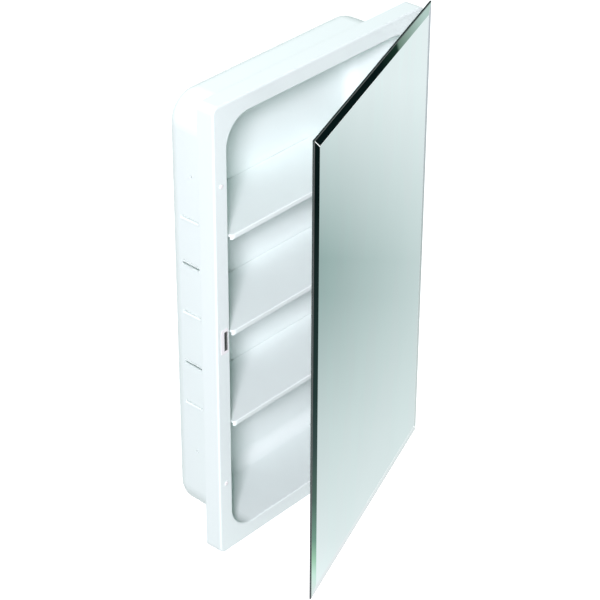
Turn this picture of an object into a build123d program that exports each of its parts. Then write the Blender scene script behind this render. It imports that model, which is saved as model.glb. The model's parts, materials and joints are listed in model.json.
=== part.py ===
from build123d import *
import os

# Recessed medicine cabinet with a frameless bevelled mirror door, standing open.
# Millimetres. +X right, +Y into the wall, +Z up, seen by someone facing the cabinet.
# The origin is the middle of the plane in which the flange's rear rim meets the wall.

# ------------------------------------------------------------------ driving sizes
inch = 25.4
mirror_width = 16 * inch
mirror_height = 26 * inch
flange_width = 15.25 * inch
flange_height = 25.625 * inch
flange_depth = 26.0              # the flange's front stands this far off the wall
tub_depth = 77.0                 # the tub reaches this far into the wall
moulding = 2.5                   # wall thickness of the moulded body
door_open = 20.1                 # degrees that the door stands open

# ------------------------------------------------------------------ moulded body
front_y = -flange_depth
mouth_size = (341.5, 604.5, 38.5)            # inside of the tub at its mouth: width, height, corner radius
floor_size = (335.2, 604.0, 37.8)            # the same at the back wall
flange_corner = 9.0
flange_round = 2.4
lip_round = 2.0
back_round_inside = 17.5
back_round_outside = back_round_inside + moulding
tub_back_y = tub_depth
tub_floor_y = tub_depth - moulding

# ------------------------------------------------------------------ shelves
slot_middle_z = 7.0
slot_rise = 5.8
slot_y = (23.1, 53.9)
slot_steps = (136.9, 73.5, 0.0, -73.5, -136.9)
slot_levels = [slot_middle_z + step for step in slot_steps]
shelf_names = ("shelf_top", "shelf_middle", "shelf_bottom")
shelf_levels = slot_levels[::2]              # the upper, middle and lower slots carry the shelves
spare_levels = slot_levels[1::2]             # the others have a bar across, near the top
spare_gap = 0.8                              # the open gap over that bar
spare_bar = 2.2
spare_slot_drop = 1.2
shelf_thickness = 3.0
shelf_width = 330.0
shelf_front_y = front_y + 1.0
shelf_back_y = tub_floor_y - 0.6
shelf_lip_drop = 7.4
shelf_nose = 1.6
shelf_inner_corner = 1.0
shelf_front_corner = 7.0
shelf_rear_corner = 17.0
tab_play = 0.4
tab_thickness = 3.0
tab_rest = 0.2                               # a tab's clearance above the bottom of its slot
tab_reach = 172.1                            # half of the width over a shelf's two tabs
tab_round = 0.9

# ------------------------------------------------------------------ side fixing holes
fixing_y = 35.0
fixing_middle_z = 2.0
fixing_spacing = 16 * inch
fixing_radius = 2.0

# ------------------------------------------------------------------ door stack, from front to back
glass_thickness = 4.0
glass_edge = 2.2
bevel_width = 13.4
tape_thickness = 0.8
panel_thickness = 0.7
door_gap = 1.9                               # between the closed door and the flange
door_shift = -2.4                            # the door's middle, from the cabinet's
panel_inset = 8.0
panel_corner = 4.0
tape_width = 25.0
tape_length = 600.0
tape_offsets = {"mirror_tape_left": -140.0, "mirror_tape_middle": 0.0, "mirror_tape_right": 140.0}

panel_back_y = front_y - door_gap
tape_back_y = panel_back_y - panel_thickness
glass_back_y = tape_back_y - tape_thickness
glass_bevel_y = glass_back_y - glass_edge
glass_front_y = glass_back_y - glass_thickness

# ------------------------------------------------------------------ continuous hinge
knuckle_radius = 2.2
knuckle_bore = 1.25
hinge_pin_radius = 1.2
leaf_thickness = 0.7
leaf_stand_off = 2.5                         # from the hinge's axis to the face that a leaf lies on
leaf_width = 15.0
hinge_length = 24 * inch
knuckle_count = 24
knuckle_pitch = hinge_length / knuckle_count
knuckle_gap = 0.4
leaf_clearance = 2.1                         # a leaf stops this far from the axis beside a knuckle
axis_x = flange_width / 2 + leaf_stand_off
axis_y = panel_back_y + leaf_stand_off
rivet_count = 6
rivet_pitch = 4 * knuckle_pitch
rivet_reach = 9.5                            # from the hinge's axis to a row of rivets
rivet_radius = 1.6
rivet_head_radius = 3.2

# ------------------------------------------------------------------ magnetic catch and bumpers
catch_x = -178.8
housing_x = -180.5
catch_height = 27.0
magnet_width = 3.0
pole_width = 1.2
pole_proud = 0.8
magnet_proud = 0.5
magnet_depth = 9.0
housing_width = 11.0
housing_height = 31.5
housing_depth = 12.0
rim_width = 13.0
rim_height = 36.0
rim_proud = 0.4
catch_play = 0.15
strike_width = 14.0
strike_height = 42.0
strike_thickness = 0.7
strike_rivet_z = 17.5
bumper_x = -181.8
bumper_radius = 3.0
bumper_proud = 1.5
bumper_levels = {"bumper_upper": 219.0, "bumper_lower": -216.0}


# ------------------------------------------------------------------ helpers
def block(x, y, z):
    """A box between a low and a high limit along each axis."""
    size = [high - low for low, high in (x, y, z)]
    middle = [(low + high) / 2 for low, high in (x, y, z)]
    return Pos(*middle) * Box(*size)


def facing(y, width, height, radius):
    """A rounded rectangle at depth y that faces the room."""
    return Plane.XZ.offset(-y) * RectangleRounded(width, height, radius)


def disc_y(x, z, y, radius):
    """A cylinder along Y between two depths."""
    low, high = y
    return Pos(x, (low + high) / 2, z) * Rot(90, 0, 0) * Cylinder(radius, high - low)


def disc_x(x, y, z, radius):
    """A cylinder along X between two places."""
    low, high = x
    return Pos((low + high) / 2, y, z) * Rot(0, 90, 0) * Cylinder(radius, high - low)


def upright(x, y, length, radius):
    """A cylinder along Z, centred on the plane Z = 0."""
    return Pos(x, y, 0) * Cylinder(radius, length)


def edges_at(part, y):
    """The edges that lie wholly in the plane at depth y."""
    return part.edges().filter_by_position(Axis.Y, y - 0.01, y + 0.01)


def long_edge(part, y, z):
    """The edge along X that runs through y and z."""
    found = part.edges().filter_by(Axis.X)
    return found.filter_by_position(Axis.Y, y - 0.01, y + 0.01).filter_by_position(Axis.Z, z - 0.01, z + 0.01)


def evenly(count, pitch):
    """Positions of count things, pitch apart, about zero."""
    return [(i - (count - 1) / 2) * pitch for i in range(count)]


# ------------------------------------------------------------------ the moulded body
def grown(size, by):
    width, height, radius = size
    return width + 2 * by, height + 2 * by, radius + by


def tub_form(by, back_y):
    """The tub's tapered inside form, grown by an amount all round its sides, down to back_y."""
    return loft([facing(front_y, *grown(mouth_size, by)), facing(back_y, *grown(floor_size, by))])


def tub_outside():
    solid = tub_form(moulding, tub_back_y)
    return fillet(edges_at(solid, tub_back_y), back_round_outside)


def tub_inside():
    solid = tub_form(0, tub_floor_y)
    return fillet(edges_at(solid, tub_floor_y), back_round_inside)


def flange():
    """The front plate and the skirt that returns to the wall."""
    plate_back_y = front_y + moulding
    whole = extrude(facing(front_y, flange_width, flange_height, flange_corner), amount=-flange_depth)
    whole = fillet(edges_at(whole, front_y), flange_round)
    inner_corner = flange_corner - moulding
    inner = facing(plate_back_y, flange_width - 2 * moulding, flange_height - 2 * moulding, inner_corner)
    return whole - extrude(inner, amount=-flange_depth)


def both_sides(y, z):
    """A block through each side wall of the tub."""
    near, far = mouth_size[0] / 2 - 6, mouth_size[0] / 2 + 6
    return [block((near, far), y, z), block((-far, -near), y, z)]


def slot_cutters():
    cutters = []
    for level in shelf_levels:
        cutters += both_sides(slot_y, (level - slot_rise / 2, level + slot_rise / 2))
    for level in spare_levels:
        top = level + slot_rise / 2
        cutters += both_sides(slot_y, (top - spare_gap, top))
        cutters += both_sides(slot_y, (level - slot_rise / 2 - spare_slot_drop, top - spare_gap - spare_bar))
    return cutters


def fixing_cutters():
    wall_x = (mouth_size[0] / 2 - 8, mouth_size[0] / 2 + 8)
    cutters = []
    for z in evenly(2, fixing_spacing):
        cutters.append(disc_x(wall_x, fixing_y, fixing_middle_z + z, fixing_radius))
        cutters.append(disc_x((-wall_x[1], -wall_x[0]), fixing_y, fixing_middle_z + z, fixing_radius))
    return cutters


def catch_cutter():
    x = (housing_x - housing_width / 2 - catch_play, housing_x + housing_width / 2 + catch_play)
    half = housing_height / 2 + catch_play
    return block(x, (front_y - 1, front_y + moulding + 1), (-half, half))


def body_rivet_levels():
    return evenly(rivet_count, rivet_pitch)


def body_rivet_shank(x, z):
    return disc_x(x, axis_y + rivet_reach, z, rivet_radius)


def cabinet_body():
    body = flange() + tub_outside()
    body -= tub_inside()
    mouth = [
        edge
        for edge in edges_at(body, front_y)
        if abs(edge.center().X) < mouth_size[0] / 2 + 1 and abs(edge.center().Z) < mouth_size[1] / 2 + 1
    ]
    body = fillet(mouth, lip_round)
    side_x = (flange_width / 2 - moulding - 1, flange_width / 2 + 1)
    for cutter in slot_cutters() + fixing_cutters() + [catch_cutter()]:
        body -= cutter
    for z in body_rivet_levels():
        body -= body_rivet_shank(side_x, z)
    return body


# ------------------------------------------------------------------ shelves
def shelf_outline(bottom, height):
    """The shelf's plan, with small corners in front and larger ones that clear the tub's rounding."""
    half = shelf_width / 2
    form = block((-half, half), (shelf_front_y, shelf_back_y), (bottom, bottom + height))
    upright_edges = form.edges().filter_by(Axis.Z)
    form = fillet(upright_edges.filter_by_position(Axis.Y, shelf_front_y - 1, shelf_front_y + 1), shelf_front_corner)
    rear_edges = form.edges().filter_by(Axis.Z).filter_by_position(Axis.Y, shelf_back_y - 0.1, shelf_back_y + 0.1)
    return fillet(rear_edges, shelf_rear_corner)


def shelf_plate(top):
    """A plate with a lip down its front edge."""
    half = shelf_width / 2
    lip_back_y = shelf_front_y + shelf_thickness
    plate_bottom = top - shelf_thickness
    lip_bottom = top - shelf_lip_drop
    plate = block((-half, half), (shelf_front_y, shelf_back_y), (plate_bottom, top))
    plate += block((-half, half), (shelf_front_y, lip_back_y), (lip_bottom, top))
    plate = fillet(long_edge(plate, shelf_front_y, top), shelf_nose)
    plate = fillet(long_edge(plate, lip_back_y, plate_bottom), shelf_inner_corner)
    plate = fillet(long_edge(plate, shelf_front_y, lip_bottom), 1.2)
    return plate & shelf_outline(lip_bottom, shelf_lip_drop)


def shelf(level):
    """The plate with a flat tab at each end that rests in a wall slot."""
    tab_bottom = level - slot_rise / 2 + tab_rest
    top = tab_bottom + tab_thickness
    whole = shelf_plate(top)
    tab_y = (slot_y[0] + tab_play, slot_y[1] - tab_play)
    tabs = block((-tab_reach, tab_reach), tab_y, (tab_bottom, top))
    tips = [edge for edge in tabs.edges().filter_by(Axis.Y) if abs(edge.center().X) > tab_reach - 1]
    tabs = fillet(tips, tab_round)
    inner = shelf_width / 2 - shelf_front_corner
    return whole + (tabs - block((-inner, inner), tab_y, (tab_bottom, top)))


# ------------------------------------------------------------------ magnetic catch and bumpers
def catch_pocket():
    half_width = magnet_width / 2 + pole_width + 0.05
    half_height = catch_height / 2 + 0.05
    return block(
        (catch_x - half_width, catch_x + half_width),
        (front_y - rim_proud - 1, front_y - magnet_proud + magnet_depth),
        (-half_height, half_height),
    )


def catch_housing():
    """A snap-in plastic box with a thin rim on the flange's face and a pocket for the magnet."""
    half_body = (housing_width / 2, housing_height / 2)
    box = block(
        (housing_x - half_body[0], housing_x + half_body[0]),
        (front_y - rim_proud / 2, front_y + housing_depth),
        (-half_body[1], half_body[1]),
    )
    rim = Pos(housing_x, 0, 0) * extrude(facing(front_y, rim_width, rim_height, 2.5), amount=rim_proud)
    rim = fillet(edges_at(rim, front_y - rim_proud), rim_proud * 0.6)
    notch_x = housing_x - rim_width / 2
    notch = block((notch_x - 1, notch_x + 1.5), (front_y - 1, front_y), (14.5, 17.0))
    return rim + box - catch_pocket() - notch


def catch_magnet():
    half = magnet_width / 2
    y = (front_y - magnet_proud, front_y - magnet_proud + magnet_depth)
    return block((catch_x - half, catch_x + half), y, (-catch_height / 2, catch_height / 2))


def catch_pole(side):
    inner = magnet_width / 2
    x = sorted((catch_x + side * inner, catch_x + side * (inner + pole_width)))
    y = (front_y - pole_proud, front_y - magnet_proud + magnet_depth)
    return block(x, y, (-catch_height / 2, catch_height / 2))


def bumper(level):
    """A low dome stuck to the flange's face."""
    pad = disc_y(bumper_x, level, (front_y - bumper_proud, front_y), bumper_radius)
    return fillet(edges_at(pad, front_y - bumper_proud), bumper_proud * 0.85)


# ------------------------------------------------------------------ continuous hinge
def knuckle_levels(first):
    """The middles of every second knuckle, from the bottom one or the one above it."""
    return evenly(knuckle_count, knuckle_pitch)[first::2]


def hinge_leaf(first):
    """One leaf about an axis at the origin, lying against the face at x = -leaf_stand_off, towards +Y."""
    outer_x = -leaf_stand_off
    inner_x = outer_x + leaf_thickness
    half = hinge_length / 2
    plate = block((outer_x, inner_x), (leaf_clearance, leaf_width), (-half, half))
    length = knuckle_pitch - knuckle_gap
    for z in knuckle_levels(first):
        barrel = Pos(0, 0, z) * Cylinder(knuckle_radius, length)
        strap = block((outer_x, inner_x), (0, leaf_clearance + 1), (z - length / 2, z + length / 2))
        plate += barrel + strap
    return plate - Cylinder(knuckle_bore, hinge_length)


def leaf_rivet_holes(leaf):
    x = (-leaf_stand_off - 1, -leaf_stand_off + leaf_thickness + 1)
    for z in body_rivet_levels():
        leaf -= disc_x(x, rivet_reach, z, rivet_radius)
    return leaf


def hinge_body_leaf():
    return Pos(axis_x, axis_y, 0) * leaf_rivet_holes(hinge_leaf(0))


def hinge_door_leaf():
    """The same leaf turned over, so that it lies on the back of the closed door."""
    return Pos(axis_x, axis_y, 0) * Rot(0, 0, 90) * leaf_rivet_holes(hinge_leaf(1))


def hinge_pin():
    return upright(axis_x, axis_y, hinge_length, hinge_pin_radius)


def blind_rivet(grip, tail, head, tail_radius):
    """A rivet along +Z: a low domed head above z = 0, a shank of length grip, and a set tail."""
    dome = Pos(0, 0, head / 2) * Cylinder(rivet_head_radius, head)
    dome = fillet(dome.edges().filter_by_position(Axis.Z, head - 0.01, head + 0.01), head * 0.7)
    shank = Pos(0, 0, -grip / 2) * Cylinder(rivet_radius, grip)
    foot = Pos(0, 0, -grip - tail / 2) * Cylinder(tail_radius, tail)
    return dome + shank + foot


def hinge_body_rivets():
    grip = leaf_thickness + moulding
    face_x = axis_x - leaf_stand_off + leaf_thickness
    rivet = Rot(0, 90, 0) * blind_rivet(grip, 2.0, 0.9, 2.4)
    return [Pos(face_x, axis_y + rivet_reach, z) * rivet for z in body_rivet_levels()]


def hinge_door_rivets():
    grip = leaf_thickness + panel_thickness
    rivet = Rot(-90, 0, 0) * blind_rivet(grip, 0.6, 0.6, 2.4)
    face_y = panel_back_y + leaf_thickness
    return [Pos(axis_x - rivet_reach, face_y, z) * rivet for z in body_rivet_levels()]


# ------------------------------------------------------------------ mirror door, built closed
def mirror_glass():
    """A pane with a wide shallow bevel on all four sides."""
    slab = block(
        (door_shift - mirror_width / 2, door_shift + mirror_width / 2),
        (glass_bevel_y, glass_back_y),
        (-mirror_height / 2, mirror_height / 2),
    )
    wide = Plane.XZ.offset(-glass_bevel_y) * Pos(door_shift, 0) * Rectangle(mirror_width, mirror_height)
    narrow = Plane.XZ.offset(-glass_front_y) * Pos(door_shift, 0) * Rectangle(
        mirror_width - 2 * bevel_width, mirror_height - 2 * bevel_width
    )
    return slab + loft([wide, narrow])


def mirror_tape(offset):
    x = (door_shift + offset - tape_width / 2, door_shift + offset + tape_width / 2)
    return block(x, (glass_back_y, tape_back_y), (-tape_length / 2, tape_length / 2))


def strike_rivet_places():
    return [(catch_x, z) for z in (strike_rivet_z, -strike_rivet_z)]


def door_back_panel():
    width = mirror_width - 2 * panel_inset
    height = mirror_height - 2 * panel_inset
    face = Pos(door_shift, 0, 0) * facing(panel_back_y, width, height, panel_corner)
    panel = extrude(face, amount=panel_thickness)
    through = (tape_back_y - 1, panel_back_y + 1)
    for z in body_rivet_levels():
        panel -= disc_y(axis_x - rivet_reach, z, through, rivet_radius)
    for x, z in strike_rivet_places():
        panel -= disc_y(x, z, through, rivet_radius)
    return panel


def strike_plate():
    face = Pos(catch_x, 0, 0) * facing(panel_back_y, strike_width, strike_height, 3.0)
    plate = extrude(face, amount=-strike_thickness)
    for x, z in strike_rivet_places():
        plate -= disc_y(x, z, (panel_back_y - 1, panel_back_y + strike_thickness + 1), rivet_radius)
    return plate


def strike_rivets():
    grip = strike_thickness + panel_thickness
    rivet = Rot(-90, 0, 0) * blind_rivet(grip, 0.6, 0.4, 2.4)
    return [Pos(x, panel_back_y + strike_thickness, z) * rivet for x, z in strike_rivet_places()]


# ------------------------------------------------------------------ assembly
def opened(shape):
    """A piece of the closed door, turned about the hinge to where the door stands."""
    to_axis = Pos(axis_x, axis_y, 0)
    return to_axis * Rot(0, 0, door_open) * to_axis.inverse() * shape


def grouped(solids):
    return Compound(children=[Part() + solid for solid in solids])


cabinet_nodes = {
    "cabinet_body": cabinet_body(),
    "catch_housing": catch_housing(),
    "catch_magnet": catch_magnet(),
    "catch_pole_left": catch_pole(-1),
    "catch_pole_right": catch_pole(1),
    "hinge_body_leaf": hinge_body_leaf(),
    "hinge_pin": hinge_pin(),
    "hinge_body_rivets": grouped(hinge_body_rivets()),
}
for name, level in zip(shelf_names, shelf_levels):
    cabinet_nodes[name] = shelf(level)
for name, level in bumper_levels.items():
    cabinet_nodes[name] = bumper(level)

door_nodes = {
    "mirror_glass": mirror_glass(),
    "door_back_panel": door_back_panel(),
    "hinge_door_leaf": hinge_door_leaf(),
    "hinge_door_rivets": grouped(hinge_door_rivets()),
    "strike_plate": strike_plate(),
    "strike_rivets": grouped(strike_rivets()),
}
for name, offset in tape_offsets.items():
    door_nodes[name] = mirror_tape(offset)

os.makedirs("parts", exist_ok=True)
for name, shape in cabinet_nodes.items():
    export_step(shape, f"parts/{name}.step")
for name, shape in door_nodes.items():
    export_step(opened(shape), f"parts/{name}.step")
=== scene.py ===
import json
import math

import bmesh
import bpy
from mathutils import Matrix, Vector


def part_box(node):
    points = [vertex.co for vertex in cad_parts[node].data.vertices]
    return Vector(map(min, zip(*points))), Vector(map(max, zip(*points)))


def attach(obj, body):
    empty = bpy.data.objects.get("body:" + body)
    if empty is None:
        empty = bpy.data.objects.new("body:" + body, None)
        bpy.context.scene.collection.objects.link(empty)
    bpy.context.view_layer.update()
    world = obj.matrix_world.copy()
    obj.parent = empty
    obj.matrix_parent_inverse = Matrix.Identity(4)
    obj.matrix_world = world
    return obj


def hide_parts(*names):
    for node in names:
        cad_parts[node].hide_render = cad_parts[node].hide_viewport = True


# A recessed medicine cabinet whose bevelled mirror door stands open.
# Metres. +X right, +Y into the wall, +Z up. The CAD nodes give every place and size.

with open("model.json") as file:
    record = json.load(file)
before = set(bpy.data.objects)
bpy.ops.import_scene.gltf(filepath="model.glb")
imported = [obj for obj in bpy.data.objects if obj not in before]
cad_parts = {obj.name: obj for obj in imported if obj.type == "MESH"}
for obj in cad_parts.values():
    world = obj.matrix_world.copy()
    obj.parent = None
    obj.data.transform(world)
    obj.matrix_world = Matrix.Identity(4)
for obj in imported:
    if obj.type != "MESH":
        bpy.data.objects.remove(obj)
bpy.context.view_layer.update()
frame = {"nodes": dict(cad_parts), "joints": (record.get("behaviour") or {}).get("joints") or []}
nodes = frame["nodes"]
floor_drop = 1.6                             # from the cabinet's bottom to the studio's floor
floor_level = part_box("cabinet_body")[0].z - floor_drop
hinge = frame["joints"][0]
hinge_axis = Vector(hinge["pos_m"])
closed_turn = math.radians(hinge["range_deg"][0])
boards_x = 1.15                              # the plane of the boards that the mirror reflects
MM = 0.001


# ------------------------------------------------------------------ camera
def make_camera():
    """From the left and above, with a long lens."""
    data = bpy.data.cameras.new("camera")
    data.sensor_width = 36.0
    data.lens = 134.75
    camera = bpy.data.objects.new("camera", data)
    place = Matrix.Translation((-1.8537, -1.6368, 1.5114))
    heading, drop, roll = math.radians(-48.379), math.radians(31.999), math.radians(0.228)
    camera.matrix_world = (
        place
        @ Matrix.Rotation(heading, 4, "Z")
        @ Matrix.Rotation(math.pi / 2 - drop, 4, "X")
        @ Matrix.Rotation(roll, 4, "Z")
    )
    bpy.context.scene.collection.objects.link(camera)
    bpy.context.scene.camera = camera


# ------------------------------------------------------------------ node helpers
class Look:
    """A material's node tree, with short ways to add the usual nodes in object coordinates."""

    def __init__(self, name):
        self.material = bpy.data.materials.new(name)
        self.material.use_nodes = True
        self.tree = self.material.node_tree
        self.shader = self.tree.nodes["Principled BSDF"]
        self.place = self.tree.nodes.new("ShaderNodeTexCoord").outputs["Object"]

    def add(self, kind, **settings):
        node = self.tree.nodes.new(kind)
        for key, value in settings.items():
            setattr(node, key, value)
        return node

    def join(self, source, target):
        self.tree.links.new(source, target)

    def fixed(self, **values):
        """Sets the shader's own sockets: base_color=..., roughness=..."""
        for key, value in values.items():
            self.shader.inputs[key.replace("_", " ").title().replace("Ior", "IOR")].default_value = value

    def stretched(self, scale):
        mapping = self.add("ShaderNodeMapping")
        mapping.inputs["Scale"].default_value = scale
        self.join(self.place, mapping.inputs["Vector"])
        return mapping.outputs["Vector"]

    def noise(self, scale, detail=3.0, stretch=(1, 1, 1)):
        node = self.add("ShaderNodeTexNoise")
        node.inputs["Scale"].default_value = scale
        node.inputs["Detail"].default_value = detail
        self.join(self.stretched(stretch), node.inputs["Vector"])
        return node.outputs["Fac"]

    def cells(self, scale):
        node = self.add("ShaderNodeTexVoronoi")
        node.inputs["Scale"].default_value = scale
        self.join(self.place, node.inputs["Vector"])
        return node

    def ranged(self, value, source, target):
        """Maps value from the range source to the range target, and holds it there."""
        node = self.add("ShaderNodeMapRange")
        for socket, number in zip(("From Min", "From Max", "To Min", "To Max"), source + target):
            node.inputs[socket].default_value = number
        self.join(value, node.inputs["Value"])
        return node.outputs["Result"]

    def math(self, kind, first, second):
        node = self.add("ShaderNodeMath", operation=kind)
        for socket, value in zip(node.inputs, (first, second)):
            if isinstance(value, float):
                socket.default_value = value
            else:
                self.join(value, socket)
        return node.outputs["Value"]

    def mixed(self, share, first, second):
        """A colour that goes from first to second as share goes from 0 to 1."""
        node = self.add("ShaderNodeMix", data_type="RGBA")
        self.join(share, node.inputs["Factor"])
        for socket, value in zip((node.inputs[6], node.inputs[7]), (first, second)):
            if isinstance(value, tuple):
                socket.default_value = (*value, 1.0)
            else:
                self.join(value, socket)
        return node.outputs[2]

    def ramp(self, value, stops):
        node = self.add("ShaderNodeValToRGB")
        elements = node.color_ramp.elements
        while len(elements) < len(stops):
            elements.new(0.5)
        for element, (position, colour) in zip(elements, stops):
            element.position = position
            element.color = (*colour, 1.0)
        self.join(value, node.inputs["Fac"])
        return node.outputs["Color"]

    def along(self, axis):
        node = self.add("ShaderNodeSeparateXYZ")
        self.join(self.place, node.inputs["Vector"])
        return node.outputs[axis]

    def edge_share(self, radius):
        """1 along the edges of the shape and 0 on its faces."""
        rounded = self.add("ShaderNodeBevel", samples=6)
        rounded.inputs["Radius"].default_value = radius
        flat = self.add("ShaderNodeNewGeometry")
        dot = self.add("ShaderNodeVectorMath", operation="DOT_PRODUCT")
        self.join(rounded.outputs["Normal"], dot.inputs[0])
        self.join(flat.outputs["Normal"], dot.inputs[1])
        return self.ranged(dot.outputs["Value"], (0.995, 0.8), (0.0, 1.0))

    def bump(self, height, distance, strength=1.0, under=None):
        node = self.add("ShaderNodeBump")
        node.inputs["Distance"].default_value = distance
        node.inputs["Strength"].default_value = strength
        self.join(height, node.inputs["Height"])
        if under is not None:
            self.join(under, node.inputs["Normal"])
        return node.outputs["Normal"]

    def rounded_edges(self, radius):
        node = self.add("ShaderNodeBevel", samples=6)
        node.inputs["Radius"].default_value = radius
        return node.outputs["Normal"]

    def finish(self, colour=None, roughness=None, normal=None):
        for socket, value in (("Base Color", colour), ("Roughness", roughness), ("Normal", normal)):
            if value is not None:
                self.join(value, self.shader.inputs[socket])
        return self.material


# ------------------------------------------------------------------ materials
def moulded_plastic(name, pale, deep, shine):
    """Gloss white plastic: slow flow marks, a fine moulded texture, edges polished by handling."""
    look = Look(name)
    flow = look.noise(9.0, 4.0, (1.0, 1.0, 0.35))
    specks = look.noise(900.0, 2.0)
    tint = look.mixed(look.ranged(flow, (0.35, 0.65), (0.0, 1.0)), pale, deep)
    edges = look.edge_share(0.8 * MM)
    colour = look.mixed(look.ranged(edges, (0.0, 1.0), (0.0, 0.15)), tint, (0.96, 0.98, 0.98))
    fine = look.ranged(specks, (0.3, 0.7), (-0.03, 0.03))
    rough = look.math("ADD", look.ranged(flow, (0.3, 0.7), shine), fine)
    rough = look.math("SUBTRACT", rough, look.ranged(edges, (0.0, 1.0), (0.0, 0.06)))
    peel = look.bump(look.noise(420.0, 2.0), 0.03 * MM, 0.6, look.rounded_edges(0.35 * MM))
    normal = look.bump(look.noise(22.0, 1.0), 0.12 * MM, 0.5, peel)
    look.fixed(specular_ior_level=0.3)
    return look.finish(colour, rough, normal)


def brushed_metal(name, pale, dark, rough, stretch, wear):
    """Metal with fine lines in one direction, slow clouding, and edges rubbed bright."""
    look = Look(name)
    lines = look.noise(1400.0, 3.0, stretch)
    clouds = look.noise(60.0, 4.0)
    tint = look.mixed(look.ranged(clouds, (0.3, 0.7), (0.0, 1.0)), pale, dark)
    tint = look.mixed(look.ranged(lines, (0.3, 0.75), (0.0, 0.35)), tint, dark)
    edges = look.edge_share(0.3 * MM)
    colour = look.mixed(look.math("MULTIPLY", edges, wear), tint, (0.9, 0.9, 0.89))
    roughness = look.math(
        "ADD", look.ranged(clouds, (0.3, 0.7), rough), look.ranged(lines, (0.3, 0.7), (-0.05, 0.05))
    )
    normal = look.bump(lines, 0.02 * MM, 0.5, look.rounded_edges(0.2 * MM))
    look.fixed(metallic=1.0)
    return look.finish(colour, roughness, normal)


def zinc_plate(name):
    """Zinc-plated steel: crystalline spangle over faint rolling lines."""
    look = Look(name)
    spangle = look.cells(260.0)
    grey = look.ranged(spangle.outputs["Color"], (0.0, 1.0), (0.0, 1.0))
    tint = look.mixed(grey, (0.56, 0.58, 0.60), (0.70, 0.71, 0.72))
    bloom = look.ranged(look.noise(35.0, 5.0), (0.5, 0.72), (0.0, 0.5))
    tint = look.mixed(bloom, tint, (0.78, 0.78, 0.75))
    edges = look.edge_share(0.3 * MM)
    colour = look.mixed(look.ranged(edges, (0.0, 1.0), (0.0, 0.6)), tint, (0.86, 0.86, 0.85))
    crystals = look.ranged(grey, (0.0, 1.0), (0.26, 0.38))
    roughness = look.math("ADD", crystals, look.ranged(bloom, (0.0, 1.0), (0.0, 0.2)))
    rolling = look.noise(1200.0, 2.0, (1.0, 1.0, 0.04))
    normal = look.bump(rolling, 0.02 * MM, 0.5, look.rounded_edges(0.2 * MM))
    look.fixed(metallic=1.0)
    return look.finish(colour, roughness, normal)


def ferrite(name):
    """Sintered ferrite: dark grey, grainy, with small chips along its edges."""
    look = Look(name)
    grain = look.noise(2600.0, 4.0)
    patches = look.noise(180.0, 3.0)
    tint = look.mixed(look.ranged(grain, (0.3, 0.7), (0.0, 1.0)), (0.018, 0.018, 0.019), (0.055, 0.052, 0.05))
    chips = look.math("MULTIPLY", look.edge_share(0.5 * MM), look.ranged(patches, (0.45, 0.6), (0.0, 1.0)))
    colour = look.mixed(chips, tint, (0.11, 0.105, 0.1))
    roughness = look.ranged(patches, (0.3, 0.7), (0.45, 0.65))
    normal = look.bump(grain, 0.05 * MM, 0.7, look.rounded_edges(0.3 * MM))
    return look.finish(colour, roughness, normal)


def foam(name):
    """White polyethylene foam tape: small closed cells."""
    look = Look(name)
    cells = look.cells(1500.0).outputs["Distance"]
    dirt = look.ranged(look.noise(45.0, 5.0), (0.45, 0.7), (0.0, 1.0))
    colour = look.mixed(dirt, (0.80, 0.80, 0.77), (0.66, 0.65, 0.60))
    roughness = look.ranged(cells, (0.0, 0.6), (0.75, 0.95))
    return look.finish(colour, roughness, look.bump(cells, 0.12 * MM, 0.8))


def enamel(name):
    """White stove enamel on sheet steel: orange peel, faint yellowing, thin at the edges."""
    look = Look(name)
    clouds = look.noise(12.0, 4.0)
    tint = look.mixed(look.ranged(clouds, (0.35, 0.65), (0.0, 1.0)), (0.74, 0.76, 0.75), (0.70, 0.72, 0.70))
    edges = look.edge_share(0.5 * MM)
    worn = look.math("MULTIPLY", edges, look.ranged(look.noise(240.0, 4.0), (0.5, 0.62), (0.0, 1.0)))
    colour = look.mixed(worn, tint, (0.42, 0.42, 0.42))
    roughness = look.ranged(look.noise(70.0, 3.0), (0.3, 0.7), (0.22, 0.36))
    normal = look.bump(look.noise(330.0, 2.0), 0.05 * MM, 0.7, look.rounded_edges(0.25 * MM))
    return look.finish(colour, roughness, normal)


def silvered(name, tint, haze):
    """Silvered glass seen from the front: clean, with the faintest haze and waviness."""
    look = Look(name)
    clouds = look.noise(14.0, 4.0, (1.0, 1.0, 0.5))
    smear = look.noise(30.0, 5.0, (1.0, 1.0, 0.15))
    darker = tuple(0.985 * channel for channel in tint)
    colour = look.mixed(look.ranged(clouds, (0.35, 0.65), (0.0, 1.0)), tint, darker)
    roughness = look.ranged(smear, (0.45, 0.75), haze)
    normal = look.bump(look.noise(3.0, 1.0), 0.02 * MM, 0.15)
    look.fixed(metallic=1.0, coat_weight=0.25, coat_roughness=0.01)
    return look.finish(colour, roughness, normal)


def ground_glass(name, pale, deep, rough):
    """The cut edge of green glass: ground lines along the edge, and deeper green in slow random patches."""
    look = Look(name)
    lines = look.noise(2500.0, 2.0, (1.0, 1.0, 0.03))
    depth = look.noise(55.0, 3.0)
    colour = look.mixed(look.ranged(depth, (0.35, 0.65), (0.0, 1.0)), pale, deep)
    roughness = look.ranged(lines, (0.3, 0.7), rough)
    return look.finish(colour, roughness, look.bump(lines, 0.02 * MM, 0.5))


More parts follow.
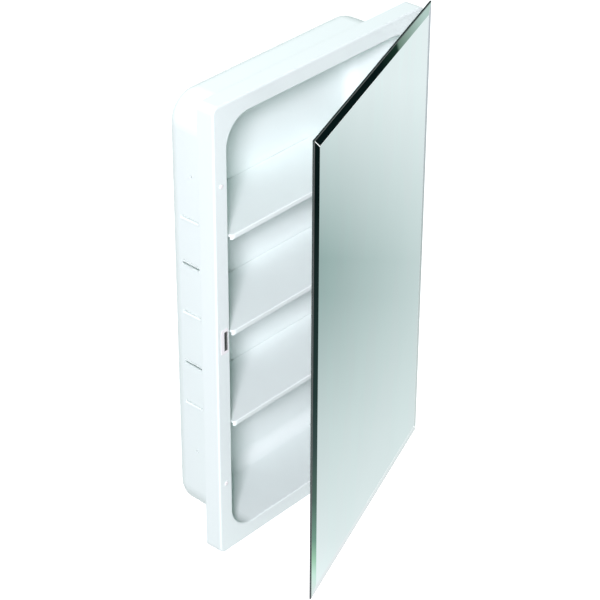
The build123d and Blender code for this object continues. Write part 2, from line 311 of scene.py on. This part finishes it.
def backing_paint(name):
    """The grey paint over the silver, with a soft dry-rolled texture and small scuffs."""
    look = Look(name)
    rolled = look.noise(500.0, 3.0, (1.0, 1.0, 0.3))
    scuffs = look.ranged(look.noise(75.0, 6.0, (1.0, 1.0, 0.2)), (0.62, 0.72), (0.0, 0.5))
    share = look.ranged(rolled, (0.3, 0.7), (0.0, 1.0))
    tint = look.mixed(share, (0.21, 0.225, 0.235), (0.25, 0.265, 0.275))
    colour = look.mixed(scuffs, tint, (0.42, 0.43, 0.43))
    roughness = look.ranged(rolled, (0.3, 0.7), (0.45, 0.6))
    return look.finish(colour, roughness, look.bump(rolled, 0.03 * MM, 0.6))


def make_materials():
    body = moulded_plastic("moulded_body_plastic", (0.822, 0.932, 0.902), (0.806, 0.920, 0.889), (0.38, 0.46))
    # The shelves are the body's white plastic made paler and greener: painted light, standing in for the light
    # on the shelf tops.
    shelf = moulded_plastic("shelf_plastic", (0.875, 0.990, 0.957), (0.860, 0.978, 0.944), (0.46, 0.56))
    small = moulded_plastic("catch_plastic", (0.93, 0.94, 0.94), (0.90, 0.915, 0.915), (0.2, 0.28))
    pad = moulded_plastic("bumper_plastic", (0.84, 0.86, 0.85), (0.80, 0.82, 0.81), (0.4, 0.5))
    steel = brushed_metal(
        "pole_steel", (0.50, 0.51, 0.52), (0.36, 0.37, 0.38), (0.24, 0.34), (1.0, 1.0, 0.04), 0.6
    )
    pin = brushed_metal(
        "pin_steel", (0.62, 0.62, 0.62), (0.45, 0.45, 0.46), (0.2, 0.3), (0.04, 0.04, 1.0), 0.5
    )
    strike = brushed_metal(
        "strike_steel", (0.66, 0.66, 0.65), (0.5, 0.5, 0.5), (0.2, 0.3), (0.05, 1.0, 1.0), 0.6
    )
    rivet = brushed_metal(
        "rivet_aluminium", (0.74, 0.74, 0.74), (0.6, 0.6, 0.61), (0.28, 0.4), (1.0, 1.0, 1.0), 0.5
    )
    return {
        "cabinet_body": body,
        "shelf_top": shelf,
        "shelf_middle": shelf,
        "shelf_bottom": shelf,
        "catch_housing": small,
        "catch_magnet": ferrite("magnet_ferrite"),
        "catch_pole_left": steel,
        "catch_pole_right": steel,
        "bumper_upper": pad,
        "bumper_lower": pad,
        "hinge_body_leaf": zinc_plate("hinge_zinc"),
        "hinge_door_leaf": zinc_plate("hinge_zinc_door"),
        "hinge_pin": pin,
        "hinge_body_rivets": rivet,
        "hinge_door_rivets": rivet,
        "strike_rivets": rivet,
        "strike_plate": strike,
        "door_back_panel": enamel("panel_enamel"),
        "mirror_tape_left": foam("tape_foam"),
        "mirror_tape_middle": foam("tape_foam_middle"),
        "mirror_tape_right": foam("tape_foam_right"),
    }


def dress_cad_nodes():
    for name, made in make_materials().items():
        data = nodes[name].data
        if not data.materials:
            data.materials.append(made)
        for index in range(len(data.materials)):
            data.materials[index] = made


# ------------------------------------------------------------------ the mirror's glass
def to_closed():
    """Turns a place on the door, as it stands, to where it is with the door closed."""
    move = Matrix.Translation(hinge_axis)
    return move @ Matrix.Rotation(closed_turn, 4, "Z") @ move.inverted()


def closed_levels():
    """The glass's x, y and z limits when closed, and the y at which its bevel starts."""
    turn = to_closed()
    points = [turn @ vertex.co for vertex in nodes["mirror_glass"].data.vertices]
    low = Vector(min(point[axis] for point in points) for axis in range(3))
    high = Vector(max(point[axis] for point in points) for axis in range(3))
    face = [point for point in points if point.y < low.y + 0.05 * MM]
    bevel_width = min(point.x for point in face) - low.x
    rim = [point.y for point in points if abs(point.x - low.x) < 0.05 * MM]
    return low, high, bevel_width, min(rim)


def ring(mesh, low, high, inset, y):
    """Four corners of the pane's outline, drawn in by inset, at depth y."""
    left, right = low.x + inset, high.x - inset
    bottom, top = low.z + inset, high.z - inset
    corners = ((left, bottom), (right, bottom), (right, top), (left, top))
    return [mesh.verts.new((x, y, z)) for x, z in corners]


def make_mirror():
    """The pane: painted back, ground edge, dark rim where the silver ends, bevel and face."""
    low, high, bevel_width, rim_y = closed_levels()
    seam = 0.3 * MM
    rim = 1.5 * MM
    mitre_flat = 0.4 * MM
    face_round = 0.3 * MM
    flat = 0.01 * MM
    slope = (rim_y - low.y) / bevel_width
    mesh = bmesh.new()
    rings = [
        ring(mesh, low, high, seam, high.y),
        ring(mesh, low, high, 0.0, high.y - seam),
        ring(mesh, low, high, 0.0, rim_y + seam),
        ring(mesh, low, high, seam, rim_y - slope * seam),
        ring(mesh, low, high, rim, rim_y - slope * rim),
        ring(mesh, low, high, bevel_width, low.y),
    ]
    back, edge, seamed, bevel, face = range(5)
    finishes = [edge, edge, seamed, seamed, bevel]
    for lower, upper, finish in zip(rings, rings[1:], finishes):
        for i in range(4):
            j = (i + 1) % 4
            mesh.faces.new((lower[i], lower[j], upper[j], upper[i])).material_index = finish
    mesh.faces.new(rings[-1]).material_index = face
    mesh.faces.new(reversed(rings[0])).material_index = back
    outer, inner = set(rings[-2]), set(rings[-1])
    mitres = [line for line in mesh.edges if outer & set(line.verts) and inner & set(line.verts)]
    bmesh.ops.bevel(mesh, geom=mitres, offset=mitre_flat, segments=1, affect="EDGES", material=bevel)
    face_lines = [line for line in mesh.edges if max(vertex.co.y for vertex in line.verts) < low.y + flat]
    bmesh.ops.bevel(
        mesh, geom=face_lines, offset=face_round, segments=2, profile=0.5, affect="EDGES", material=bevel
    )
    bmesh.ops.recalc_face_normals(mesh, faces=mesh.faces)
    bmesh.ops.transform(mesh, matrix=to_closed().inverted(), verts=mesh.verts)
    data = bpy.data.meshes.new("mirror_pane")
    mesh.to_mesh(data)
    mesh.free()
    pane = bpy.data.objects.new("mirror_pane", data)
    bpy.context.scene.collection.objects.link(pane)
    for made in (
        backing_paint("mirror_backing"),
        ground_glass("mirror_edge", (0.010, 0.030, 0.026), (0.006, 0.020, 0.017), (0.15, 0.3)),
        ground_glass("mirror_rim", (0.035, 0.042, 0.040), (0.022, 0.028, 0.026), (0.3, 0.45)),
        silvered("mirror_bevel", (0.93, 0.965, 0.950), (0.0, 0.03)),
        silvered("mirror_face", (0.93, 0.965, 0.955), (0.0, 0.02)),
    ):
        data.materials.append(made)
    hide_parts("mirror_glass")
    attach(pane, "door")


# ------------------------------------------------------------------ studio
def link(obj):
    bpy.context.scene.collection.objects.link(obj)
    return obj


def area_light(name, place, target, size, power, colour):
    data = bpy.data.lights.new(name, "AREA")
    data.shape = "RECTANGLE"
    data.size, data.size_y = size
    data.energy = power
    data.color = colour
    light = link(bpy.data.objects.new(name, data))
    light.location = place
    light.rotation_euler = (Vector(target) - Vector(place)).to_track_quat("-Z", "Y").to_euler()
    return light


def make_world():
    world = bpy.data.worlds.new("studio")
    world.use_nodes = True
    shade = world.node_tree.nodes["Background"]
    shade.inputs["Color"].default_value = (0.76, 1.0, 0.96, 1.0)
    shade.inputs["Strength"].default_value = 0.25
    bpy.context.scene.world = world


def make_floor():
    half = 12.0
    corners = ((-half, -half), (half, -half), (half, half), (-half, half))
    data = bpy.data.meshes.new("floor")
    data.from_pydata([(x, y, floor_level) for x, y in corners], [], [(0, 1, 2, 3)])
    floor = link(bpy.data.objects.new("floor", data))
    look = Look("pale_floor")
    look.fixed(base_color=(0.95, 0.95, 0.95, 1.0), roughness=0.9)
    look.fixed(emission_color=(1.0, 1.0, 1.0, 1.0), emission_strength=1.0)
    data.materials.append(look.material)
    floor.visible_diffuse = False


def card(name, corners, made):
    """A glowing board that only the mirror sees, upright and facing the cabinet; its glow paints a reflection
    in the mirror.
    """
    data = bpy.data.meshes.new(name)
    data.from_pydata([(boards_x, y, z) for y, z in corners], [], [tuple(range(len(corners)))])
    data.materials.append(made)
    board = link(bpy.data.objects.new(name, data))
    board.visible_camera = False
    board.visible_diffuse = False
    board.visible_shadow = False
    board.visible_transmission = False


def glowing(name, colour_of):
    """A board's material, whose glow is what colour_of makes of the look."""
    look = Look(name)
    glow = look.add("ShaderNodeEmission")
    look.join(colour_of(look), glow.inputs["Color"])
    look.join(glow.outputs["Emission"], look.tree.nodes["Material Output"].inputs["Surface"])
    return look.material


def face_glow(look):
    """The painted reflection in the mirror's face: light above and below, darkest a third of the way down, and
    paler to the right.
    """
    height = look.ranged(look.along("Z"), (-1.40, -0.10), (0.0, 1.0))
    dark = look.ramp(
        height,
        (
            (0.02, (0.0, 0.0, 0.0)),
            (0.10, (0.2, 0.2, 0.2)),
            (0.30, (0.48, 0.48, 0.48)),
            (0.54, (0.97, 0.97, 0.97)),
            (0.60, (1.0, 1.0, 1.0)),
            (0.74, (0.6, 0.6, 0.6)),
            (0.88, (0.16, 0.16, 0.16)),
        ),
    )
    across = look.ranged(look.along("Y"), (-0.20, 0.0), (1.0, 0.5))
    share = look.math("MULTIPLY", dark, across)
    return look.mixed(share, (0.86, 0.95, 0.96), (0.30, 0.42, 0.405))


def left_bevel_glow(look):
    """The painted reflection in the left bevel: black, going through dark teal and green to light at the very
    bottom.
    """
    height = look.ranged(look.along("Z"), (-1.47, -0.47), (0.0, 1.0))
    return look.ramp(
        height,
        (
            (0.02, (0.75, 0.86, 0.84)),
            (0.06, (0.62, 0.86, 0.76)),
            (0.10, (0.36, 0.62, 0.45)),
            (0.15, (0.18, 0.33, 0.26)),
            (0.25, (0.085, 0.15, 0.125)),
            (0.38, (0.042, 0.073, 0.07)),
            (0.50, (0.020, 0.043, 0.040)),
            (0.94, (0.003, 0.009, 0.009)),
        ),
    )


def top_bevel_glow(look):
    """The painted reflection in the top bevel: black as far as a sharp edge, and grey-green from there on."""
    across = look.ranged(look.along("Y"), (-0.20, -0.10), (0.0, 1.0))
    return look.ramp(
        across,
        (
            (0.0, (0.003, 0.009, 0.009)),
            (0.36, (0.012, 0.035, 0.024)),
            (0.41, (0.16, 0.25, 0.20)),
            (0.67, (0.31, 0.43, 0.38)),
            (0.95, (0.47, 0.62, 0.58)),
        ),
    )


def right_bevel_glow(look):
    # The painted reflection in the right bevel: grey, lightest at the board's bottom.
    height = look.ranged(look.along("Z"), (-1.0, -0.1), (0.0, 1.0))
    stops = ((0.0, (0.62, 0.70, 0.69)), (0.4, (0.44, 0.50, 0.50)), (1.0, (0.50, 0.54, 0.59)))
    return look.ramp(height, stops)


def bottom_bevel_glow(look):
    # The painted reflection in the bottom bevel: pale grey, a little darker and greener higher up.
    height = look.ranged(look.along("Z"), (-1.6, -1.1), (0.0, 1.0))
    return look.ramp(height, ((0.0, (0.84, 0.88, 0.90)), (1.0, (0.76, 0.83, 0.83))))


def make_cards():
    """Glowing boards beside the studio floor, whose graded glow paints the reflections in the mirror's face and
    its four bevels.
    """
    boards = (
        ("face_card", face_glow, ((-0.36, -1.60), (0.08, -1.60), (0.08, 0.00), (-0.05, -0.02), (-0.36, -0.34))),
        (
            "left_bevel_card",
            left_bevel_glow,
            ((-0.70, -1.60), (-0.42, -1.60), (-0.42, -0.395), (-0.70, -0.395)),
        ),
        ("top_bevel_card", top_bevel_glow, ((-0.37, -0.16), (-0.37, -0.30), (-0.06, -0.05), (-0.06, 0.08))),
        ("right_bevel_card", right_bevel_glow, ((0.22, -1.05), (0.40, -1.05), (0.40, 0.08), (0.22, 0.08))),
        ("bottom_bevel_card", bottom_bevel_glow, ((0.08, -1.75), (0.22, -1.75), (0.28, -1.06), (0.14, -1.06))),
    )
    for name, colour_of, corners in boards:
        card(name, corners, glowing(name, colour_of))


def make_lights():
    """A key from the camera's side, a weak fill low in front, and a light over the back."""
    area_light("key", (-3.20, -2.42, 2.34), (0, 0, 0), (0.7, 0.7), 238, (1.0, 0.88, 0.98))
    area_light("front", (-0.5, -2.3, -0.6), (0, 0, -0.1), (1.4, 1.4), 9, (1.0, 0.97, 1.0))
    area_light("rim", (-0.3, 1.9, 2.5), (0, 0, 0.2), (1.5, 1.5), 52, (1.0, 0.95, 0.98))


bpy.context.scene.view_settings.view_transform = "Standard"
dress_cad_nodes()
make_mirror()
make_camera()
make_world()
make_floor()
make_cards()
make_lights()
